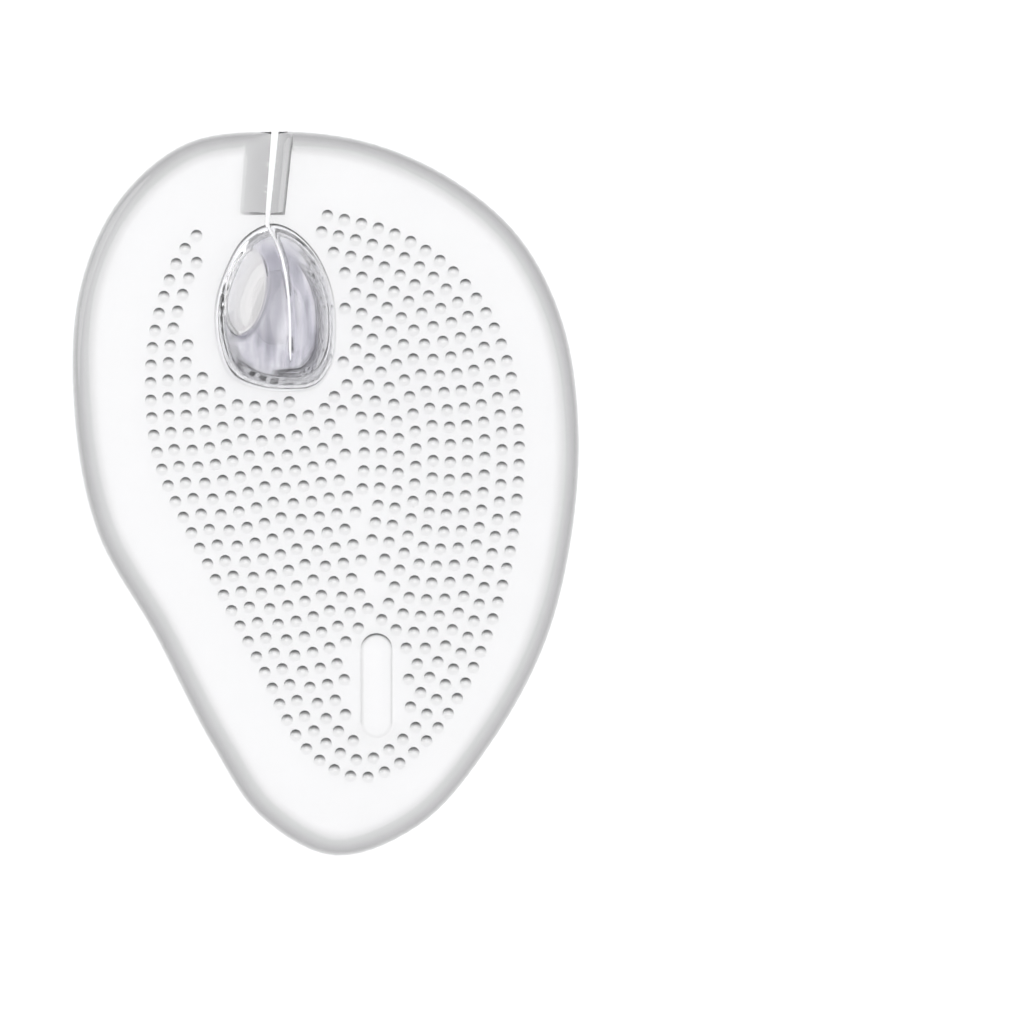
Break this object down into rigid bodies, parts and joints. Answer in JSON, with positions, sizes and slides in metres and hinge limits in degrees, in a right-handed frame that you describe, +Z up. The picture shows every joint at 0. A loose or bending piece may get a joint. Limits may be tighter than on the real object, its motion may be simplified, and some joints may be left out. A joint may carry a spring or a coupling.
{
  "type": "gel insole",
  "caption": "Clear gel forefoot pad with a rounded rim, a toe slit, a cupped guard for a sandal post and a field of small raised nubs.",
  "frame": {"origin": "middle of the flat underside's bounding box", "axes": "+Y towards the toes along the pad's length, +X across towards the outer toes, +Z up from the underside"},
  "size_m": [0.07, 0.1, 0.0125],
  "materials": {
    "clear_gel": "clear soft polyurethane gel, smooth and glossy, slightly tacky"
  },
  "bodies": {
    "root": {"gel_insole": "clear_gel"}
  },
  "joints": []
}
